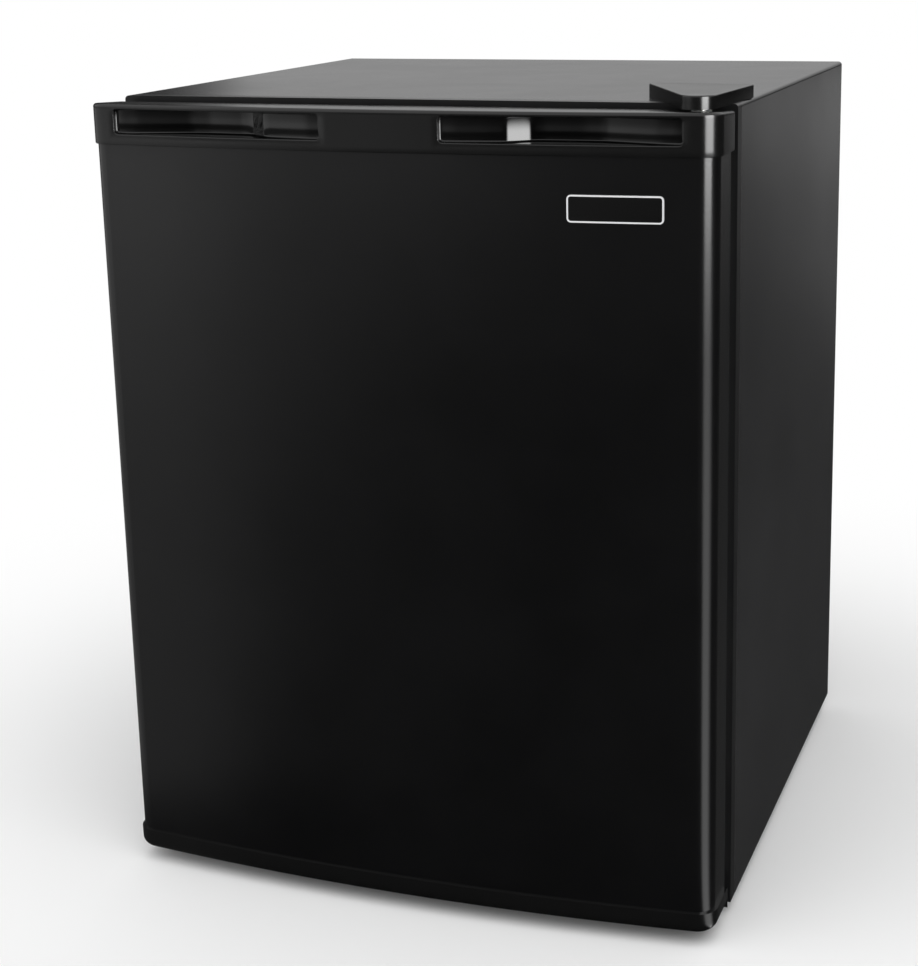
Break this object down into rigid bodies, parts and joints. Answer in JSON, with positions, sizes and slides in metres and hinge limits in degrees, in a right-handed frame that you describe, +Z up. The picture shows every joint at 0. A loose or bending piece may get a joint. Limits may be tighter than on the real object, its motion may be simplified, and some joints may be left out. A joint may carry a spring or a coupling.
{
  "type": "mini fridge",
  "caption": "Compact free-standing refrigerator with a dark bowed door, finger pockets in the top cap, freezer box, wire shelves, door bins and an open compressor bay.",
  "frame": {"origin": "floor level under the middle of the bounding box", "axes": "+Z up, -Y the way the door faces, +X to the right of someone facing the door, which is the hinge side"},
  "size_m": [0.48, 0.51, 0.624],
  "materials": {
    "painted_steel_body": "satin",
    "painted_steel_door": "satin",
    "frame_paint": "satin",
    "galvanised_steel": "satin",
    "zinc_hinge": "satin",
    "screw_steel": "satin",
    "foam": "matte",
    "white_liner": "satin",
    "coated_wire": "gloss",
    "evaporator_aluminium": "satin",
    "white_plastic": "satin",
    "clear_plastic": "gloss",
    "copper": "satin",
    "black_cap_plastic": "satin",
    "black_gloss_plastic": "gloss",
    "gasket_vinyl": "matte",
    "badge_black": "gloss",
    "badge_silver": "polished",
    "condenser_paint": "satin",
    "compressor_paint": "gloss",
    "black_plastic": "matte",
    "black_rubber": "matte"
  },
  "bodies": {
    "cabinet": {"cabinet_wrapper": "painted_steel_body", "front_frame": "frame_paint", "back_panel": "painted_steel_body", "base_plate": "galvanised_steel", "compressor_step": "galvanised_steel", "cabinet_foam": "foam", "inner_liner": "white_liner", "wire_shelf_lower": "coated_wire", "wire_shelf_upper": "coated_wire", "evaporator_box": "evaporator_aluminium", "evaporator_frame": "white_plastic", "evaporator_rear_cover": "white_plastic", "evaporator_hangers": "white_plastic", "evaporator_screws": "screw_steel", "tray_rails": "white_plastic", "thermostat_housing": "white_plastic", "thermostat_switch": "white_plastic", "sensing_tube": "copper", "top_hinge_plate": "zinc_hinge", "hinge_cover": "black_cap_plastic", "bottom_hinge_bracket": "zinc_hinge", "hinge_screws": "screw_steel", "hinge_washer": "white_plastic", "condenser_coil": "condenser_paint", "condenser_wires": "condenser_paint", "condenser_clips": "black_plastic", "rear_screws": "screw_steel", "cross_rail": "galvanised_steel", "compressor_shell": "compressor_paint", "compressor_foot_plate": "compressor_paint", "compressor_mounts": "black_rubber", "compressor_bolts": "screw_steel", "terminal_cover": "black_plastic", "discharge_tube": "copper", "suction_tube": "copper", "capillary_tube": "copper", "process_tube": "copper", "filter_drier": "copper", "cord_gland": "black_plastic", "rear_feet": "black_rubber", "foot_sockets": "white_plastic"},
    "door": {"door_skin": "painted_steel_door", "door_top_cap": "black_cap_plastic", "door_bottom_cap": "black_cap_plastic", "grip_cups": "black_gloss_plastic", "door_foam": "foam", "door_liner": "white_liner", "door_gasket": "gasket_vinyl", "door_bushes": "white_plastic", "door_badge": "badge_black", "door_badge_rim": "badge_silver"},
    "dial": {"thermostat_dial": "white_plastic"},
    "freezer_flap": {"freezer_flap": "clear_plastic"},
    "drip_tray": {"drip_tray": "clear_plastic"},
    "bin_lower": {"door_bin_lower": "clear_plastic"},
    "bin_middle": {"door_bin_middle": "clear_plastic"},
    "bin_upper": {"door_bin_upper": "clear_plastic"},
    "foot_left": {"foot_left": "black_rubber"},
    "foot_right": {"foot_right": "black_rubber"}
  },
  "joints": [
    {"name": "door_hinge", "type": "hinge", "parent": "cabinet", "child": "door", "pos_m": [0.222, -0.217, 0.3065], "axis": [0, 0, 1], "range_deg": [0, 120]},
    {"name": "dial_turn", "type": "hinge", "parent": "cabinet", "child": "dial", "pos_m": [0.128, -0.035, 0.549], "axis": [0, 1, 0], "range_deg": [0, 285]},
    {"name": "flap_hinge", "type": "hinge", "parent": "cabinet", "child": "freezer_flap", "pos_m": [-0.092, -0.041, 0.459], "axis": [1, 0, 0], "range_deg": [0, 90]},
    {"name": "tray_slide", "type": "slide", "parent": "cabinet", "child": "drip_tray", "axis": [0, -1, 0], "range_m": [0, 0.085]},
    {"name": "bin_lower_lift", "type": "slide", "parent": "door", "child": "bin_lower", "axis": [0, 0, 1], "range_m": [0, 0.03]},
    {"name": "bin_middle_lift", "type": "slide", "parent": "door", "child": "bin_middle", "axis": [0, 0, 1], "range_m": [0, 0.03]},
    {"name": "bin_upper_lift", "type": "slide", "parent": "door", "child": "bin_upper", "axis": [0, 0, 1], "range_m": [0, 0.03]},
    {"name": "foot_left_height", "type": "slide", "parent": "cabinet", "child": "foot_left", "axis": [0, 0, -1], "range_m": [0, 0.012]},
    {"name": "foot_right_height", "type": "slide", "parent": "cabinet", "child": "foot_right", "axis": [0, 0, -1], "range_m": [0, 0.012]}
  ]
}
